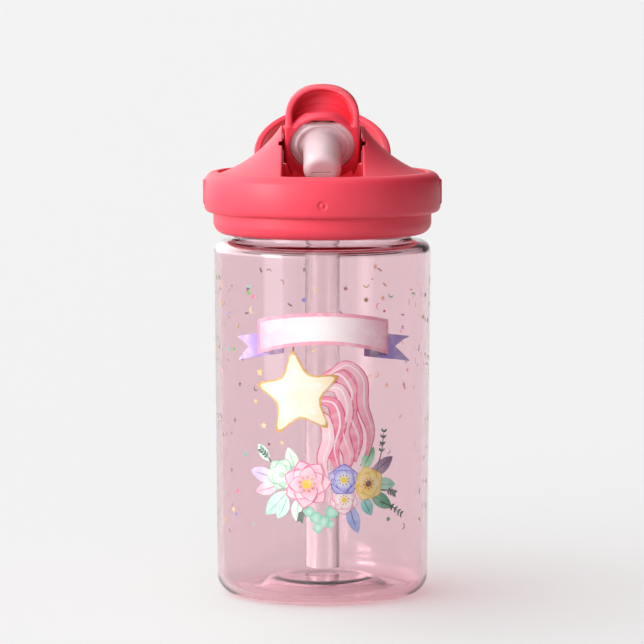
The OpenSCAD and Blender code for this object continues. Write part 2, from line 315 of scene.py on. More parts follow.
def seat_on_body(name, points, faces, finish, body, stands_for=()):
    """A smooth mesh in its own object, riding on a body. Points come in millimetres."""
    mesh = bpy.data.meshes.new(name)
    mesh.from_pydata((np.asarray(points) * MM).tolist(), [], faces)
    mesh.update()
    mesh.shade_smooth()
    mesh.materials.append(finish)
    piece = bpy.data.objects.new(name, mesh)
    bpy.context.scene.collection.objects.link(piece)
    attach(piece, body)
    if stands_for:
        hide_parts(*stands_for)
    return piece


def trim(a, b, r):
    """What two solids share, with the edge between them rounded to radius r."""
    return np.minimum(np.maximum(a, b), -r) + np.hypot(np.maximum(a + r, 0), np.maximum(b + r, 0))


def join(a, b, r):
    """Two solids together, with a fillet of radius r in the corner between them."""
    return -trim(-a, -b, r)


def cut(a, b, r):
    """The first solid less the second, with the edge rounded to radius r."""
    return trim(a, -b, r)


def slab(value, low, high):
    """The layer between two heights of a coordinate."""
    return np.maximum(low - value, value - high)


def within(a, b, outline):
    """Signed distance to a closed outline in a plane, negative inside it."""
    gap = np.full(np.broadcast(a, b).shape, 1e9)
    inside = np.zeros(gap.shape, bool)
    for (p, q), (s, t) in zip(outline, outline[1:] + outline[:1]):
        run, rise = s - p, t - q
        if abs(run) + abs(rise) < 1e-9:
            continue
        k = np.clip(((a - p) * run + (b - q) * rise) / (run * run + rise * rise), 0, 1)
        gap = np.minimum(gap, (a - p - k * run) ** 2 + (b - q - k * rise) ** 2)
        if abs(rise) > 1e-12:
            inside ^= ((q > b) != (t > b)) & (a < run * (b - q) / rise + p)
    return np.where(inside, -1, 1) * np.sqrt(gap)


def spline(p0, p1, p2, p3, t):
    """The point at t, from 0 to 1, of the smooth line from p1 to p2."""
    second = 2 * p0 - 5 * p1 + 4 * p2 - p3
    third = 3 * p1 - p0 - 3 * p2 + p3
    return 0.5 * (2 * p1 + (p2 - p0) * t + second * t * t + third * t**3)


def flowing(points, steps=6):
    """A closed outline drawn smoothly through its points."""
    out = []
    n = len(points)
    for i in range(n):
        p0, p1, p2, p3 = (np.array(points[(i + k) % n], float) for k in (-1, 0, 1, 2))
        for s in range(steps):
            t = s / steps
            out.append(tuple(spline(p0, p1, p2, p3, t)))
    return out


def cast(name, field, low, high, cell, finish, body, stands_for=()):
    """Meshes the skin of a solid given by its field, which is negative inside.
    One point goes in each cell that the skin crosses, and is then drawn onto
    the skin itself, so the faces follow every fillet."""
    low = np.array(low, float)
    axes = [np.arange(a, b + cell, cell) for a, b in zip(low, high)]
    value = np.ascontiguousarray(np.broadcast_to(field(*np.ix_(*axes)), [len(a) for a in axes]))
    inside = value < 0
    size = np.array(value.shape) - 1
    corners = [(i, j, k) for i in (0, 1) for j in (0, 1) for k in (0, 1)]
    filled = np.zeros(size, np.int8)
    for corner in corners:
        filled += inside[tuple(slice(c, c + n) for c, n in zip(corner, size))]
    cells = np.argwhere((filled > 0) & (filled < 8))
    at = {corner: value[tuple((cells + corner).T)] for corner in corners}
    total = np.zeros((len(cells), 3))
    hits = np.zeros(len(cells))
    for corner in corners:
        for axis in range(3):
            if corner[axis]:
                continue
            far = tuple(c + (i == axis) for i, c in enumerate(corner))
            crossed = (at[corner] < 0) != (at[far] < 0)
            here, there = at[corner][crossed], at[far][crossed]
            spot = np.tile(np.array(corner, float), (len(here), 1))
            spot[:, axis] += here / (here - there)
            total[crossed] += spot
            hits[crossed] += 1
    points = low + cell * (cells + total / hits[:, None])
    number = np.full(size, -1)
    number[tuple(cells.T)] = np.arange(len(cells))
    faces = []
    for axis in range(3):
        one, two = np.eye(3, dtype=int)[(axis + 1) % 3], np.eye(3, dtype=int)[(axis + 2) % 3]
        first = tuple(slice(0, -1) if i == axis else slice(1, -1) for i in range(3))
        second = tuple(slice(1, None) if i == axis else slice(1, -1) for i in range(3))
        edge = np.argwhere(inside[first] != inside[second]) + one + two
        shifts = (one + two, two, 0 * one, one)
        ring = np.stack([number[tuple((edge - shift).T)] for shift in shifts], 1)
        outward = inside[tuple(edge.T)]
        faces += [ring[outward], ring[~outward][:, ::-1]]
    for _ in range(3):
        gap = field(*points.T)
        slope = np.stack(
            [
                (field(*(points + step).T) - field(*(points - step).T)) / (0.1 * cell)
                for step in np.eye(3) * 0.05 * cell
            ],
            1,
        )
        move = slope * (gap / np.maximum((slope**2).sum(1), 0.2))[:, None]
        points -= np.clip(move, -0.3 * cell, 0.3 * cell)
    return seat_on_body(name, points, np.concatenate(faces).tolist(), finish, body,
        stands_for)


def bend(centre, r, a0, a1, steps):
    """Points on an arc in a side view, by its angles in degrees."""
    return [
        (centre[0] + r * math.cos(math.radians(a)), centre[1] + r * math.sin(math.radians(a)))
        for a in np.linspace(a0, a1, steps + 1)
    ]


def turn(name, line, finish, body, stands_for=(), centre=(0.0, 0.0), columns=288, swell=None,
    closed=True):
    """A mesh turned round an upright axis from a side view of (radius, height) points.
    swell gives what a rib or thread adds to the radius at an angle and height."""
    angle = np.radians(np.linspace(0, 360, columns, endpoint=False))
    line = np.array(line, float)
    rows = []
    for r, z in line:
        radius = np.full(columns, r)
        if swell is not None:
            radius = radius + swell(angle, r, z)
        rows.append(np.stack([centre[0] + radius * np.cos(angle),
            centre[1] + radius * np.sin(angle), np.full(columns, z)], 1))
    on_axis = [abs(r) < 1e-9 for r, _ in line]
    points, first = [], []
    for row, pole in zip(rows, on_axis):
        first.append(sum(len(p) for p in points))
        points.append(row[:1] if pole else row)
    faces = []
    pairs = list(zip(range(len(line)), list(range(1, len(line))) + [0]))
    for a, b in pairs if closed else pairs[:-1]:
        for i in range(columns):
            j = (i + 1) % columns
            if on_axis[a] and on_axis[b]:
                continue
            if on_axis[a]:
                faces.append((first[a], first[b] + j, first[b] + i))
            elif on_axis[b]:
                faces.append((first[a] + i, first[a] + j, first[b]))
            else:
                faces.append((first[a] + i, first[a] + j, first[b] + j, first[b] + i))
    return seat_on_body(name, np.concatenate(points), faces, finish, body, stands_for)


# ------------------------------------------------------------------ bottle


def thread_swell(angle, r, z):
    """The screw thread on the outside of the neck."""
    out = np.zeros_like(angle)
    if abs(r - NECK_R) > 0.01:
        return out
    for lap in range(2):
        along = np.degrees(angle) % 360 + 360 * lap
        near = np.abs(z - (THREAD_Z + PITCH * along / 360))
        height = np.clip((1.45 - near) / 0.85, 0, 1)
        height = height * height * (3 - 2 * height)
        fade = np.clip(np.minimum(along, THREAD_TURN - along) / 30, 0, 1)
        out = np.maximum(out, 1.3 * height * fade)
    return out


def bottle_shell():
    """The blown bottle: its outside from the base up to the lip, then its inside."""
    outside = (
        [(r, 4.6 - r * r / 380) for r in np.linspace(0, 14.4, 10)]
        + [(15 + 10 * t, 2 + 2 * math.cos(math.pi * t)) for t in np.linspace(0, 1, 17)]
        + bend((FOOT_R - FOOT_Z, FOOT_Z), FOOT_Z, -90, 0, 20)
        + [(FOOT_R + TAPER * k / 24, FOOT_Z + WALL_RISE * k / 24) for k in range(1, 24)]
        + bend((TOP_R - 3.6, SHOULDER_Z), 3.6, 0, 86, 16)
        + bend((NECK_R + 0.9, 123.9), 0.9, 268, 180, 6)
    )
    neck = [(NECK_R, z) for z in np.arange(124.4, 135.0, 0.2)]
    lip = bend((NECK_R - 1, LIP_Z - 1), 1, 0, 90, 6) + bend((28.9, LIP_Z - 0.7), 0.7, 90, 180, 5)
    inside = (
        [(28.2, z) for z in np.linspace(134, 123, 8)]
        + bend((29.4, 122.0), 1.2, 180, 245, 5)
        + bend((TOP_R - 4.2, SHOULDER_Z - 0.3), 2.0, 82, 0, 12)
        + [(TOP_R - 2.2 - TAPER * k / 16, SHOULDER_Z - 0.3 - 112.0 * k / 16) for k in range(1, 16)]
        + bend((FOOT_R - FOOT_Z, FOOT_Z + 0.2), 4.6, 0, -90, 16)
        + [(15 + 11 * t, 4.25 + 2.05 * math.cos(math.pi * t)) for t in np.linspace(1, 0, 17)]
        + [(r, 6.8 - r * r / 460) for r in np.linspace(14.4, 0, 10)]
    )
    return turn(
        "bottle_shell", outside + neck + lip + inside, BODY_CLEAR, "bottle",
        ["bottle_body"],
        columns=256, swell=thread_swell, closed=False,
    )


def drinking_straw():
    """The straw below the lid's stub."""
    low, high = span("straw")
    wall = bend((5.7, low.z + 0.3), 0.3, -90, 0, 4) + bend((5.7, high.z - 0.3), 0.3, 0, 90, 4)
    wall += bend((5.3, high.z - 0.3), 0.3, 90, 180, 4) + bend((5.3, low.z + 0.3), 0.3, 180, 270, 4)
    return turn("drinking_straw", wall, STRAW_CLEAR, "cap", ["straw"],
        centre=(0, PIVOT_Y), columns=96)


# --------------------------------------------------------------------- lid


def skirt_field(x, y, z):
    """The lid's working part: skirt, roof, plug ring, nut thread, tower and stub."""
    r = np.hypot(x, y)
    from_port = np.hypot(x, y - PIVOT_Y)
    skin = trim(r - SKIRT_R, SKIRT_Z - z, 4.2)
    skin = trim(skin, z - ROOF_Z, 0.4)
    hollow = trim(r - 32.3, z - 137.5, 0.5)
    made = cut(skin, hollow, 0.4)
    plug = trim(np.abs(r - 26.6) - 1.0, np.maximum(133.6 - z, z - 138.2), 0.8)
    made = join(made, plug, 0.4)
    along = (np.degrees(np.arctan2(y, x)) - 90) % 360
    near = np.abs(z - (THREAD_Z + PITCH / 4 - 1.85 + PITCH * along / 360))
    fade = np.clip(np.minimum(along, 360 - along) / 30, 0.0, 1)
    crest = 32.5 - 1.4 * fade
    flank = (near - 0.6 - 0.72 * (r - 31.1)) * 0.81
    made = join(made, np.maximum(trim(crest - r, flank, 0.25), r - 34), 0.2)
    tower = trim(from_port - 6, np.maximum(138 - z, z - 150.8), 0.5)
    stub = trim(from_port - 4.97, np.maximum(125 - z, z - 138.2), 0.4)
    made = join(join(made, tower, 0.8), stub, 0.3)
    made = cut(made, from_port - BORE_R, 0.3)
    made = cut(made, np.maximum(from_port - 4.33, 143 - z), 0.2)
    made = cut(made, np.hypot(y - PIVOT_Y, z - PIVOT_Z) - 5.32, 0.2)
    return cut(made, np.hypot(x, y + 16) - 1.6, 0.2)


def band_field(x, y, z):
    """The grip band: a barrel-sided ring with upright ribs at both sides."""
    r = np.hypot(x, y)
    side = np.hypot(r - 10.95, z - 138.4) - 30
    body = trim(trim(side, z - 146.4, 2.8), 132.4 - z, 1.6)
    body = cut(body, np.maximum(r - 36.0, ROOF_Z - z), 0.5)
    body = cut(body, np.maximum(r - (SKIRT_R + 0.05), z - ROOF_Z - 0.05), 0.1)
    # Five ribs on each side, 4.2 degrees apart.
    rib_at = 40.5
    across = np.arctan2(y, np.abs(x)) * rib_at
    apart = math.radians(4.2) * rib_at
    across = across - apart * np.round(np.clip(across / apart, -2, 2))
    rib = np.sqrt((r - 40.42) ** 2 + across**2 + np.maximum(np.abs(z - 139.4) - 3.6, 0) ** 2) - 0.75
    body = join(body, rib, 0.35)
    from_gate = np.hypot(x, z - 137)
    front = y + 40
    dimple = np.maximum(trim(from_gate - 1.5, 40.55 - r, 0.3), front)
    nub = np.maximum(trim(from_gate - 0.6, r - 40.85, 0.2), front)
    return np.minimum(cut(body, dimple, 0.3), np.maximum(nub, 39 - r))


def cone_field(x, y, z, inset):
    """The concave cone of the deck, drawn in by inset."""
    r = np.hypot(x, y)
    flank = 44 + inset - np.hypot(r - 50.4, z - 186.9)
    return trim(np.maximum(flank, r - 45), r - 35.6 + inset, 0.5)


def deck_field(x, y, z):
    """The lid's upper moulding: the cone, its cheeks and the slot for the lever."""
    r = np.hypot(x, y)
    cone = np.maximum(cone_field(x, y, z, 0), z - 178)
    shell = cut(cone, cone_field(x, y, z, 2.2), 0.4)
    cheeks = trim(cone, np.maximum(np.abs(x) - 16.6, np.maximum(-33 - y, y - 30.2)), 0.4)
    made = np.minimum(shell, cheeks)
    slot = trim(trim(np.abs(x) - SLOT_HALF, y - 28, 1.0), r - 33, 0.4)
    made = cut(made, slot, 0.55)
    back, up = y - PIVOT_Y, z - PIVOT_Z
    made = cut(made, np.maximum(np.hypot(back, up) - 1.96, np.abs(x) - 15.5), 0.25)
    lean = math.radians(-4)
    along = back * math.cos(lean) + up * math.sin(lean)
    over = up * math.cos(lean) - back * math.sin(lean)
    channel = np.maximum(np.maximum(np.abs(over) - 0.7, along), np.abs(x) - 14.9)
    made = cut(made, channel, 0.25)
    return trim(made, ROOF_Z + 0.02 - z, 0.3)


def strap_field(x, y, z):
    """The carry strap behind the lever: a broad web with a bead along its front."""
    tilt = math.radians(38)
    back, up = y - 21.5, z - 150.2
    run, lift = back * math.cos(tilt) + up * math.sin(tilt), up * math.cos(tilt) - back * math.sin(tilt)
    r = np.hypot(x, run)
    bead = trim(np.abs(r - 22.6) - 1.2, np.abs(lift - 1.35) - 1.05, 0.7)
    web = trim(np.abs(r - 22.95) - 0.85, np.abs(lift + 1.2) - 3.4, 0.6)
    made = join(bead, web, 0.35)
    made = np.maximum(made, ROOF_Z + 1.0 - z)
    made = np.maximum(made, -cone_field(x, y, z, 0.9))
    return cut(made, np.maximum(np.abs(x) - 14.3, y - 25), 0.4)


# ------------------------------------------------------------------- lever


def seat_place(y, z):
    """How far a point is out along the mouthpiece's axis, and how far above it."""
    back, up = y - SEAT_Y, z - SEAT_Z
    out = -back * math.cos(NOSE_DOWN) - up * math.sin(NOSE_DOWN)
    above = -back * math.sin(NOSE_DOWN) + up * math.cos(NOSE_DOWN)
    return out, above


def from_seat(out, above):
    """The side-view place of a point given by the mouthpiece's axis."""
    y = SEAT_Y - out * math.cos(NOSE_DOWN) - above * math.sin(NOSE_DOWN)
    return y, SEAT_Z - out * math.sin(NOSE_DOWN) + above * math.cos(NOSE_DOWN)


def dome(half, low, high, steps):
    """The round top of the hood, seen from the front."""
    out = []
    for i in range(steps + 1):
        a = math.pi * i / steps
        out.append(
            (
                math.copysign(half * abs(math.cos(a)) ** 0.94, math.cos(a)),
                low + (high - low) * abs(math.sin(a)) ** 0.94,
            )
        )
    return out


# Outlines of the lever. From the side: the hood, and the scooped tab in it.
HOOD_SIDE = [from_seat(0, -13.4), from_seat(0, 8.1)] + [
    (-12.6, 166.0), (-11.2, 169.4), (-8.0, 172.6), (-3.5, 175.0), (0.4, 176.1), (1.5, 176.3),
    (2.6, 176.1), (3.3, 175.6),
    (3.9, 174.4), (4.4, 171.0), (5.5, 167.0), (7.8, 163.6)]
HOOD_SIDE += bend((PIVOT_Y, PIVOT_Z), 6.1, 55, -110, 14)
SPOON = [from_seat(0, 12.2)] + [
    (-14.3, 166.9), (-9.0, 166.9), (-6.4, 167.3), (-3.9, 168.3), (-1.9, 170.1), (-0.6, 172.6),
    (0.2, 175.2), (0.6, 176.1), (1.5, 176.3),
    (2.6, 176.1), (3.3, 175.6), (3.9, 174.4), (3.4, 172.4), (2.2, 170.2), (0.2, 168.0),
    (-3.6, 165.6), (-8.5, 164.7), (-11.4, 164.6)]
# From the front: the hood's outside and inside.
HOOD_FRONT = dome(12.6, 165.6, 176.3, 48) + [
    (-12.6, 152.0), (-12.2, 149.0), (-11.4, 146.0), (-9.6, 142.4), (9.6, 142.4), (11.4, 146.0),
    (12.2, 149.0), (12.6, 152.0)]
HOOD_INSIDE = dome(10.3, 165.6, 174.4, 48) + [(-10.3, 138.0), (10.3, 138.0)]
# From the side: the room below the tab that the ring may fill.
BELOW_HOOD = [(-30, 130), (-30, 166.4), (-14.3, 166.9), (-5, 166.9), (20, 150), (20, 130)]


def lever_field(x, y, z):
    """The thumb lever: hood, scooped tab, ring, nose block, bosses and pins."""
    out, above = seat_place(y, z)
    r = np.hypot(x, above)
    from_pin = np.hypot(y - PIVOT_Y, z - PIVOT_Z)
    front = within(x, z, HOOD_FRONT)
    hollow = within(x, z, HOOD_INSIDE)
    hood = trim(within(y, z, HOOD_SIDE), front, 0.9)
    hood = cut(hood, hollow, 0.9)
    fall = 0.84 * (13 - np.sqrt(np.maximum(169 - x * x, 20)))
    spoon = trim(trim(within(y, z + fall, SPOON), np.abs(x) - 10.9, 0.3), front, 0.9)
    spoon = trim(spoon, out + 1.4, 0.8)
    made = join(hood, spoon, 1.2)
    block = trim(r - 14.4, np.maximum(np.maximum(-3.4 - out, out), above - 8), 0.6)
    block = trim(block, front, 0.8)
    made = join(made, block, 0.5)
    ring = trim(r - 12.4, np.maximum(-4.2 - out, out), 0.5)
    ring = trim(ring, within(y, z, BELOW_HOOD), 0.3)
    made = join(made, ring, 0.6)
    boss = trim(from_pin - 6.6, slab(np.abs(x), 8.05, 13.5), 0.4)
    pin = trim(from_pin - 1.9, slab(np.abs(x), 11, 15.3), 0.3)
    made = join(join(made, boss, 0.4), pin, 0.3)
    made = cut(made, np.maximum(r - 11.1, -3.3 - out), 0.35)
    made = cut(made, np.maximum(r - 9.6, -5 - out), 0.3)
    made = cut(made, np.maximum(from_pin - 3.03, np.abs(x) - 9.7), 0.15)
    return cut(made, np.maximum(np.abs(x) - 7.4, np.maximum(-0.9 - y, z - 153)), 0.3)


def collar_notch(x, r, above):
    """The gap in the top of the collar and flange that keeps them from turning."""
    return np.maximum(np.maximum(np.abs(x) - 6.2 - 0.35 * (above - 9.5), 8.7 - above), 8.6 - r)


def elbow_field(x, y, z):
    """The clear elbow: a barrel across the port, a tube forward and the nozzle."""
    out, above = seat_place(y, z)
    r = np.hypot(x, above)
    from_pin = np.hypot(y - PIVOT_Y, z - PIVOT_Z)
    from_tube = np.hypot(x, z - PIVOT_Z)
    barrel = trim(from_pin - 5.2, np.abs(x) - 7.9, 0.3)
    pins = trim(from_pin - 3, np.abs(x) - 9.5, 0.3)
    tube = np.maximum(from_tube - 4.2, np.maximum(y - PIVOT_Y, out + 2.1))
    made = join(join(barrel, pins, 0.3), tube, 0.6)
    flange = trim(r - 10.9, slab(out, -3.2, -2), 0.25)
    nozzle = trim(r - 4.55, slab(out, -3, MOUTH_LEN - 3.5), 0.4)
    flange = cut(flange, collar_notch(x, r, above), 0.2)
    made = join(join(made, flange, 0.5), nozzle, 0.4)
    made = cut(made, np.maximum(from_tube - BORE_R, np.maximum(SEAT_Y - y, y - 30)), 0.2)
    return cut(made, np.maximum(r - BORE_R, -0.6 - out), 0.25)


def mouthpiece_field(x, y, z):
    """The bite valve: a collar in the lever's ring and a domed, slit mouthpiece."""
    out, above = seat_place(y, z)
    r = np.hypot(x, above)
    collar = trim(r - 11.05, slab(out, -1.9, -0.4), 0.45)
    mouth = trim(r - 6.5, slab(out, -1.9, MOUTH_LEN), 2.6)
    made = join(collar, mouth, 1.1)
    roll = np.hypot(r - 8.7, out + 0.35) - 0.55
    made = join(made, roll, 0.4)
    hollow = trim(r - 4.65, np.maximum(-4 - out, out - (MOUTH_LEN - 2.2)), 0.8)
    made = cut(made, hollow, 0.3)
    slit = np.maximum(np.maximum(np.abs(x) - 3.2, np.abs(above) - 0.2), MOUTH_LEN - 4 - out)
    made = cut(made, slit, 0.15)
    return cut(made, collar_notch(x, r, above), 0.3)


def port_seal_field(x, y, z):
    """The sleeve between the port and the barrel."""
    from_port = np.hypot(x, y - PIVOT_Y)
    made = trim(from_port - 4.3, slab(z, 143.02, 150.6), 0.2)
    made = cut(made, from_port - BORE_R, 0.2)
    return cut(made, np.hypot(y - PIVOT_Y, z - PIVOT_Z) - 5.24, 0.15)


def lid_gasket_ring():
    """The flat ring between the lip and the lid's roof."""
    low, high = span("lid_gasket")
    line = bend((28.15, low.z + 0.3), 0.3, 180, 270, 4) + bend((31.6, low.z + 0.3), 0.3, -90, 0, 4)
    line += bend((31.6, high.z - 0.3), 0.3, 0, 90, 4) + bend((28.15, high.z - 0.3), 0.3, 90, 180, 4)
    return turn("lip_gasket", line, SEAL_SILICONE, "seal", ["lid_gasket"], columns=192)


def air_vent():
    """The umbrella valve: a thin flap under the roof, a stem and a round head."""
    line = (
        [(0, 135.6), (0.6, 135.66), (0.95, 135.85), (1.35, 136.3), (1.75, 136.55)]
        + [(2.6, 136.75), (3.5, 136.9), (3.95, 137.08), (4.0, 137.3), (3.85, 137.42)]
        + [(1.6, 137.42), (1.5, 137.6), (1.5, 139.4), (1.6, 139.55)]
        + [(2.1, 139.56), (2.2, 139.7), (2.05, 140.1), (1.6, 140.6), (0.95, 140.95), (0, 141)]
    )
    return turn("air_vent", line, SEAL_SILICONE, "cap", ["vent_valve"], centre=(0, -16),
        columns=64, closed=False)


# ------------------------------------------------------------------- print


def wall_r(z):
    """Outer radius of the bottle's wall at a height."""
    return FOOT_R + TAPER * (np.clip(z, FOOT_Z, SHOULDER_Z) - FOOT_Z) / WALL_RISE


def mixed(a, b, k):
    """A colour part of the way from one hex colour to another."""
    return [p + (q - p) * k for p, q in zip(linear(a), linear(b))]


def print_shapes(name, shapes):
    """Prints flat shapes on the wall. A shape is (outline, layer, middle colour,
    edge colour, centre, reach); its outline is in millimetres along the wall
    from the front and up from the ground."""
    points, faces, colours = [], [], []
    for outline, layer, middle, edge, centre, reach in shapes:
        outline = [Vector(p) for p in outline]
        us, vs = [p[0] for p in outline], [p[1] for p in outline]
        border = list(range(len(outline)))
        inner = [
            Vector((u, v))
            for u in np.arange(min(us) + 0.6, max(us) - 0.3, 1.2)
            for v in np.arange(min(vs) + 0.6, max(vs) - 0.3, 1.2)
        ]
        flat, _, tris, *_ = delaunay_2d_cdt(outline + inner, [], [border], 1, 1e-5)
        flat = np.array([tuple(p) for p in flat])
        tris = [tuple(t) for t in tris]
        start, n = len(points), len(flat)
        for lift in (0.015, 0.035 + 0.02 * layer):
            r = wall_r(flat[:, 1]) + lift
            phi = flat[:, 0] / PRINT_R
            points += list(zip(r * np.sin(phi), -r * np.cos(phi), flat[:, 1]))
        if centre is None:
            centre = (sum(us) / len(us), sum(vs) / len(vs))
        far = np.hypot(flat[:, 0] - centre[0], flat[:, 1] - centre[1]) / reach
        colours += [mixed(middle, edge, min(1.0, f) ** 1.3) for f in far] * 2
        edges = {}
        for t in tris:
            faces.append(tuple(start + n + i for i in t))
            faces.append(tuple(start + i for i in reversed(t)))
            for a, b in zip(t, t[1:] + t[:1]):
                edges[(a, b)] = True
        for a, b in edges:
            if (b, a) not in edges:
                faces.append((start + a, start + b, start + n + b, start + n + a))
    piece = seat_on_body(name, points, faces, INK, "bottle")
    paint = piece.data.color_attributes.new("ink", "FLOAT_COLOR", "POINT")
    paint.data.foreach_set("color", np.array(colours, np.float32).ravel())
    piece.data.shade_flat()


def petal(base, angle, length, width, point=0.7):
    """A petal or leaf outline that starts at base and points along angle."""
    c, s = math.cos(math.radians(angle)), math.sin(math.radians(angle))
    side = []
    for k in range(1, 9):
        t = k / 9
        side.append((length * t, width * 0.5 * math.sin(math.pi * t ** (1 / (0.5 + point))) ** 0.8))
    pts = [(0, 0)] + side + [(length, 0)] + [(a, -b) for a, b in reversed(side)]
    return [(base[0] + a * c - b * s, base[1] + a * s + b * c) for a, b in pts]


def stroke(points, width, thin_ends=True):
    """A brush stroke along a line of points."""
    line = np.array(points, float)
    fine = []
    for i in range(len(line) - 1):
        p0, p1, p2, p3 = (line[min(max(i + k, 0), len(line) - 1)] for k in (-1, 0, 1, 2))
        for t in np.linspace(0, 1, 6, endpoint=False):
            fine.append(spline(p0, p1, p2, p3, t))
    fine = np.array(fine + [line[-1]])
    along = np.gradient(fine, axis=0)
    along /= np.maximum(np.hypot(*along.T), 1e-9)[:, None]
    k = np.linspace(0, 1, len(fine))
    half = width / 2 * (np.sin(np.pi * np.clip(k, 0.04, 0.96)) ** 0.6 if thin_ends else 1 + 0 * k)
    off = np.stack([-along[:, 1], along[:, 0]], 1) * half[:, None]
    return [tuple(p) for p in fine + off] + [tuple(p) for p in (fine - off)[::-1]]


def disc(centre, r, n=14):
    """A round outline."""
    return [(centre[0] + r * math.cos(2 * math.pi * i / n),
        centre[1] + r * math.sin(2 * math.pi * i / n)) for i in range(n)]


def star(centre, r, inner, angle=90, n=5):
    """The outline of a star, by its outer and inner radius."""
    return [
        (
            centre[0] + (r if i % 2 == 0 else inner) * math.cos(math.radians(angle + 180 * i / n)),
            centre[1] + (r if i % 2 == 0 else inner) * math.sin(math.radians(angle + 180 * i / n)),
        )
        for i in range(2 * n)
    ]


def blossom(centre, r, petals, layer, inner, outer, rim, heart, stamens, twist=0):
    """A flower of two rings of petals with a darker rim, and a heart with stamens."""
    shapes = []
    for ring, size in enumerate((1.0, 0.72)):
        for i in range(petals):
            angle = twist + 360 * i / petals + 180 / petals * ring
            reach = r * size
            wide = 2.3 * reach * math.sin(math.pi / petals)
            base = (centre[0] + 0.1 * r * math.cos(math.radians(angle)),
                centre[1] + 0.1 * r * math.sin(math.radians(angle)))
            tier = layer + 4 * ring + 2 * (i % 2)
            shapes.append((petal(base, angle, reach * 0.93, wide, 0.95), tier, rim, rim, centre, r))
            shapes.append((petal(base, angle, reach * 0.87, wide * 0.88, 0.95), tier + 1, inner,
                outer, centre, reach))
    shapes.append((disc(centre, r * 0.2), layer + 9, heart, heart, centre, r))
    for i in range(9):
        a = math.radians(twist + 40 * i)
        tip = (centre[0] + r * 0.3 * math.cos(a), centre[1] + r * 0.3 * math.sin(a))
        shapes.append((disc(tip, r * 0.055, 7), layer + 10, stamens, stamens, tip, 1))
    return shapes


def leaf(base, angle, length, width, layer, tip, root, vein):
    """A leaf with its midrib."""
    end = (base[0] + length * math.cos(math.radians(angle)),
        base[1] + length * math.sin(math.radians(angle)))
    middle = ((base[0] + end[0] * 0.9 + base[0] * 0.1) / 2, (base[1] + end[1]) / 2)
    tip_of_rib = (base[0] * 0.12 + end[0] * 0.88, base[1] * 0.12 + end[1] * 0.88)
    return [
        (petal(base, angle, length, width, 0.55), layer, root, tip, base, length),
        (stroke([base, middle, tip_of_rib], 0.28), layer + 1, vein, vein, base, length),
    ]


def banner_shapes():
    """A blank banner with folded ends."""
    main = [(u, 100.8 - 0.0052 * u * u) for u in np.linspace(-23.3, 23.8, 17)]
    under = [(u, 90.0 - 0.0072 * u * u) for u in np.linspace(23.8, -23.3, 17)]
    inner_top = [(u, 99.6 - 0.0052 * u * u) for u in np.linspace(-22.3, 22.8, 17)]
    inner_low = [(u, 91.2 - 0.0072 * u * u) for u in np.linspace(22.8, -22.3, 17)]
    left = [(-33.3, 91.6), (-29.8, 89.9), (-27.3, 88.4), (-30.2, 86.0), (-32.8, 83.4), (-27, 84.6),
        (-20, 85.9), (-13.2, 87.0), (-13.2, 92.0), (-24, 93.2)]
    right = [(34.6, 91.5), (30.2, 90.4), (26.9, 88.6), (30.6, 85.8), (34.7, 82.9), (28, 84.0),
        (21, 84.9), (14.4, 85.9), (14.4, 92.0), (24, 93.0)]
    return [
        (left, 0, "#C9A9E0", "#9A78C4", (-33, 88), 13),
        (right, 0, "#C9A9E0", "#9A78C4", (34.5, 88), 13),
        ([(-22.6, 90), (-22.6, 86.4), (-18, 86.2), (-13.2, 87.0), (-13.2, 90)], 1, "#6F4A73",
        "#8A5D8C", (-22, 87), 9),
        ([(23.1, 90), (23.1, 85.6), (18.5, 85.4), (14.4, 85.9), (14.4, 90)], 1, "#6F4A73",
        "#8A5D8C", (23, 86), 9),
        (main + under, 2, "#F3A5B9", "#EE8FA9", (0, 95), 24),
        (inner_top + inner_low, 3, "#FCF3F4", "#F2A6BE", (0, 95), 24),
    ]


def star_shapes():
    """A plain five-pointed star with flowing streamers."""
    shapes = []
    streams = [
        ([(-1, 78), (5, 80), (9.5, 74), (9, 66), (12, 58), (11, 50)], 6.4, "#F7A9BD", "#EE7F9D"),
        ([(0, 75), (5.5, 75), (8, 68), (6.5, 60), (9, 52), (7, 45)], 6.0, "#FBC9D4", "#F294AC"),
        ([(-2, 71), (3.5, 70), (5.5, 63), (3.5, 55), (5.5, 47)], 5.6, "#F591AB", "#E9708F"),
        ([(-4, 67), (0.5, 65), (2, 58), (0, 51), (1.5, 45)], 5.0, "#FCD7DE", "#F5A3B8"),
        ([(2, 80), (8, 83), (13.5, 78), (14, 69), (17, 60), (15.5, 52)], 4.6, "#FAC0CE", "#F08AA5"),
    ]
    for i, (line, width, a, b) in enumerate(streams):
        shapes.append((stroke(line, width), 2 * i, "#D9607F", "#D9607F", line[0], 30))
        shapes.append((stroke(line, width * 0.82), 2 * i + 1, a, b, line[0], 30))
        shapes.append((stroke([(u + 0.5, v) for u, v in line], width * 0.12), 2 * i + 2, "#FFF0F2",
            "#F7B5C4", line[0], 30))
    centre = (-8.5, 73)
    shapes.append((flowing(star(centre, 15.2, 8.2, 97), 4), 11, "#E2B26A", "#D19A4E", centre, 15))
    shapes.append((flowing(star(centre, 13.9, 7.4, 97), 4), 12, "#FFF6E4", "#F6DDB8", centre, 14))
    shapes.append((flowing(star(centre, 9.2, 4.9, 97), 4), 13, "#FCE3C8", "#FFF4E6", centre, 9))
    for u, v, r in ((-22.5, 80, 1.6), (-24.3, 70, 1.1), (-21, 62, 1.4), (-3, 88, 1.0),
        (-14, 56.5, 1.0)):
        shapes.append((star((u, v), r, r * 0.42), 3, "#E8BE78", "#D8A458", None, r))
    return shapes


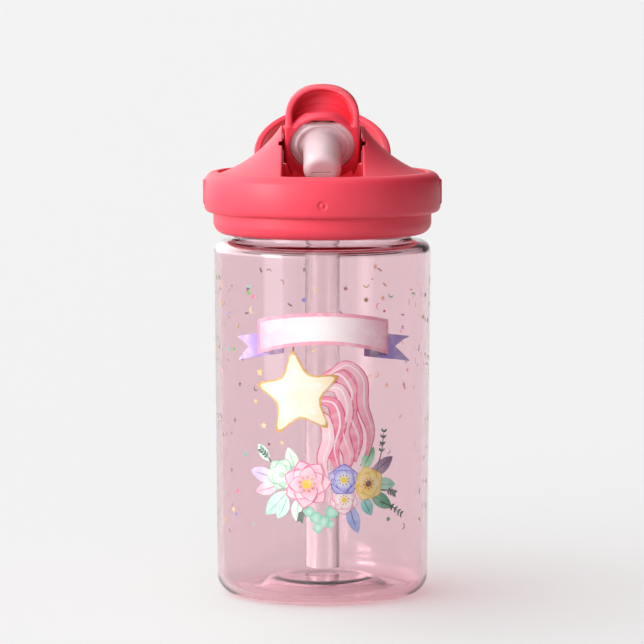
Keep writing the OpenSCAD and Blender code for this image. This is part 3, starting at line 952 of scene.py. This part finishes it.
def garland_shapes():
    """Pastel flowers and leaves in a row below the star."""
    shapes = []
    for base, angle, length, width, tip, root, vein in (
        ((-16, 44), 168, 11, 5.2, "#B59AD0", "#E3D2EC", "#8C6FB0"),
        ((-15, 42), 197, 10, 4.6, "#EFA0B4", "#F9D5DC", "#D5708C"),
        ((-12, 40), 225, 12, 5.6, "#9FD4BC", "#D5EFE3", "#6FB094"),
        ((-12, 38), 243, 8.5, 4.6, "#B7E0CC", "#DDF3E8", "#7DBB9E"),
        ((-8, 38), 262, 8.2, 4.4, "#F2F0EA", "#CFE5DA", "#9FC8B2"),
        ((-9, 46), 108, 9.5, 4.6, "#E8F0E4", "#BFDDC8", "#8FBF9E"),
        ((14, 47), 62, 9.0, 4.4, "#7FB98C", "#B9DFC0", "#4E8C62"),
        ((17, 45), 33, 11, 4.8, "#8F6A8C", "#C4A3BC", "#6B4768"),
        ((18, 42), -4, 9.5, 4.8, "#A5DAC3", "#D8F1E5", "#6FB394"),
        ((17, 39), -32, 10.5, 5.0, "#4E8A6C", "#93C7A6", "#2F6349"),
        ((14, 38), -62, 7.5, 4.4, "#6FB5B0", "#B3DFDB", "#42827D"),
        ((9, 36), -72, 11, 4.8, "#7E86C8", "#C3C7E8", "#575FA5"),
        ((-19, 50), 128, 7, 3.6, "#BFE2CC", "#E2F3E8", "#83BD98"),
    ):
        shapes += leaf(base, angle, length, width, 0, tip, root, vein)
    for u, v, r in ((3.2, 33.1, 2.3), (-2.2, 31.2, 2.1), (0.6, 29.9, 2.0), (-1.6, 27.6, 1.7),
        (-4.5, 33.2, 1.8), (2.6, 29.0, 1.4)):
        shapes.append((disc((u, v), r), 2, "#CDEBDD", "#8CCBB4", (u, v), r))
    for line in (
        [(-17.4, 48.5), (-19.5, 51.5), (-22.1, 53.5)],
        [(1.2, 46.8), (0.6, 49.5), (-0.5, 52.5)],
        [(19.4, 47.0), (21.3, 53), (22.2, 59.6)],
        [(20, 40), (24, 39.5), (27, 38.3)],
        [(20, 36), (25.5, 34), (30.1, 31.1)],
        [(-6, 36), (-7, 33), (-7.6, 30.5)],
    ):
        shapes.append((stroke(line, 0.45), 1, "#3F4F48", "#56665F", line[0], 8))
        (u0, v0), (u1, v1) = line[1], line[2]
        for k in (0.0, 0.35, 0.7, 1.0):
            u, v = u0 + (u1 - u0) * k, v0 + (v1 - v0) * k
            heading = math.degrees(math.atan2(v1 - v0, u1 - u0))
            for side in (-48, 48):
                shapes.append((petal((u, v), heading + side, 1.7, 0.8), 1, "#4A5B53", "#6A7B72",
                    (u, v), 2))
    shapes += blossom((-14.2, 45.6), 5.6, 6, 4, "#EFF8EC", "#BFE0C6", "#8EBF9C", "#A9D3B0",
        "#DDEFD8", 10)
    shapes += blossom((7.4, 37.2), 5.0, 5, 6, "#FFF8F9", "#F8D3DC", "#E59DB2", "#F2C94C", "#D9963A",
        54)
    shapes += blossom((7.3, 44.0), 5.4, 5, 12, "#FFFFFF", "#9C8FE0", "#6E62C0", "#F4D03F",
        "#B98A1E", 18)
    shapes += blossom((16.1, 42.4), 5.8, 5, 12, "#F6B860", "#FDE49A", "#E8B85C", "#7B4A2B",
        "#C97F3A", 30)
    shapes += blossom((-5.2, 42.7), 8.2, 7, 18, "#F49AB6", "#FCD6E0", "#E583A2", "#F3C544",
        "#D9993A", 5)
    return shapes


def confetti_shapes():
    """Foil-coloured stars, dots, dashes and curls scattered round the bottle."""
    chance = random.Random(7)
    tints = ("#C9A24B", "#9A6B42", "#5FA8A0", "#6E9A4E", "#D46A86", "#E2C27A", "#7B6FB0")
    spots = [
        (-43.6, 108.6), (-36.1, 108.5), (-27.2, 109.7), (-27.2, 106.7), (-25.4, 105.4),
        (-2.2, 108.5), (-6.2, 105.1), (15.1, 110.3),
        (15.1, 104.9), (25, 106.5), (36.3, 105), (22.1, 100.8), (-25.4, 101), (-38.2, 99.1),
        (-44.7, 101.9), (-32.2, 95.1),
        (-39, 86.6), (-35.1, 87), (-44.1, 78.9), (44, 97.2), (40.7, 86.8), (-49.7, 60.6),
        (-43.6, 56.8), (-29.4, 51.5),
        (-42.1, 36.9), (-33.7, 38.3), (-36.2, 31.8), (-34.3, 30.3), (-42.2, 27.5), (-39, 24.1),
        (-25.7, 27.8), (24.4, 29.6),
        (31.1, 26.5), (42.4, 27.5), (42.2, 37.2)]
    for _ in range(130):
        u = chance.uniform(46, 186)
        spots.append((u, 112 - 86 * chance.random() ** 1.3))
    shapes = []
    for i, (u, v) in enumerate(spots):
        tint, turn_by = tints[i % len(tints)], chance.uniform(0, 360)
        kind = chance.choice(("star", "star", "dash", "dash", "curl", "dot"))
        if kind == "star":
            shapes.append((star((u, v), 1.15, 0.5, turn_by), 0, tint, tint, None, 1))
        elif kind == "dot":
            shapes.append((disc((u, v), 0.5, 9), 0, tint, tint, None, 1))
        elif kind == "dash":
            c, s = math.cos(math.radians(turn_by)), math.sin(math.radians(turn_by))
            shapes.append((stroke([(u - c, v - s), (u, v), (u + c, v + s)], 0.6, False), 0, tint,
                tint, None, 1))
        else:
            bow = [(u + 1.1 * math.cos(math.radians(turn_by + a)),
                v + 1.1 * math.sin(math.radians(turn_by + a))) for a in (0, 60, 120, 180)]
            shapes.append((stroke(bow, 0.42), 0, tint, tint, None, 1))
    return shapes


# ------------------------------------------------------------------- build

bottle_shell()
drinking_straw()
lid_gasket_ring()
air_vent()
cast("screw_skirt", skirt_field, (-38.2, -38.2, 124.3), (38.2, 38.2, 151.4), 0.42, CORAL, "cap",
    ["threaded_cup"])
cast("turning_band", band_field, (-41.9, -41.9, 131.9), (41.9, 41.9, 146.9), 0.36, CORAL, "cap",
    ["grip_band"])
cast("cone_deck", deck_field, (-36.2, -36.2, 138.9), (36.2, 36.2, 176.5), 0.4, CORAL, "cap",
    ["cap_deck"])
cast("carry_strap", strap_field, (-24.6, -6, 138), (24.6, 44, 172), 0.3, CORAL, "cap",
    ["carry_loop"])
cast("thumb_lever", lever_field, (-15.8, -17.5, 141), (15.8, 13.5, 177.1), 0.24, CORAL, "lever",
    ["flip_lever"])
cast("valve_elbow", elbow_field, (-11.5, -22.5, 143), (11.5, 12, 166), 0.22, ELBOW_CLEAR, "lever",
    ["spout_elbow"])
cast("bite_mouthpiece", mouthpiece_field, (-11.7, -26, 138), (11.7, -1, 166), 0.18, MOUTH_SILICONE,
    "lever", ["bite_valve"])
cast("port_sleeve", port_seal_field, (-4.7, 1.3, 142.6), (4.7, 10.7, 151.2), 0.16, SEAL_SILICONE,
    "cap", ["port_seal"])
print_shapes("printed_banner", banner_shapes())
print_shapes("printed_star", star_shapes())
print_shapes("printed_garland", garland_shapes())
print_shapes("printed_confetti", confetti_shapes())


# ------------------------------------------------------------------- studio


def soft_box(name, place, aim, width, height, watts, lit):
    """A flat rectangular lamp that lights only the objects in lit."""
    lamp = bpy.data.lights.new(name, "AREA")
    lamp.shape = "RECTANGLE"
    lamp.size, lamp.size_y = width, height
    lamp.energy = watts
    made = bpy.data.objects.new(name, lamp)
    made.location = place
    made.rotation_euler = (Vector(aim) - Vector(place)).to_track_quat("-Z", "Y").to_euler()
    bpy.context.scene.collection.objects.link(made)
    # Flags keep the lamp's light off the paper, so the paper stays even.
    made.light_linking.receiver_collection = lit


def studio():
    """The paper floor, the room's light, three lamps and the camera."""
    lit = bpy.data.collections.new("lit_by_lamps")
    for piece in list(bpy.context.scene.collection.objects):
        lit.objects.link(piece)
    ground = bpy.data.meshes.new("paper_floor")
    ground.from_pydata([(-20, -20, 0), (20, -20, 0), (20, 40, 0), (-20, 40, 0)], [], [(0, 1, 2, 3)])
    ground.materials.append(PAPER)
    floor = bpy.data.objects.new("paper_floor", ground)
    bpy.context.scene.collection.objects.link(floor)
    world = bpy.data.worlds.new("studio")
    world.use_nodes = True
    sky = world.node_tree.nodes["Background"]
    way = add(world.node_tree, "ShaderNodeTexCoord")
    parts = add(world.node_tree, "ShaderNodeSeparateXYZ", (), {0: way.outputs["Generated"]})
    # The studio is bright on the left and falls off to a dark wall on the right.
    fall = add(
        world.node_tree,
        "ShaderNodeMapRange",
        {"interpolation_type": "SMOOTHSTEP", "From Min": -0.75, "From Max": 0.55, "To Min": 2.3,
        "To Max": 0.03},
        {0: parts.outputs[0]},
    )
    world.node_tree.links.new(fall.outputs[0], sky.inputs["Strength"])
    sky.inputs["Color"].default_value = linear("#FFFFFF")
    bpy.context.scene.world = world
    soft_box("left_key", (-1.0, -0.65, 0.42), (0, 0, 0.15), 0.5, 0.4, 6.0, lit)
    soft_box("left_strip", (-0.5, -0.38, 0.262), (0, 0, 0.262), 0.24, 0.52, 0.62, lit)
    soft_box("right_strip", (0.42, -0.42, 0.262), (0, 0, 0.262), 0.09, 0.52, 0.12, lit)
    lens = bpy.data.cameras.new("camera")
    lens.sensor_width = 36
    lens.lens = 220.97
    lens.shift_x = -0.0006
    lens.clip_end = 100
    camera = bpy.data.objects.new("camera", lens)
    camera.location = (0, -1.36, 0.228)
    camera.rotation_euler = (math.radians(90 - 5.624), 0, 0)
    bpy.context.scene.collection.objects.link(camera)
    bpy.context.scene.camera = camera
    bpy.context.scene.view_settings.view_transform = "Standard"
    # Light goes through many clear walls, one behind another.
    bpy.context.scene.cycles.max_bounces = 32
    bpy.context.scene.cycles.transmission_bounces = 32
    bpy.context.scene.cycles.transparent_max_bounces = 48


studio()
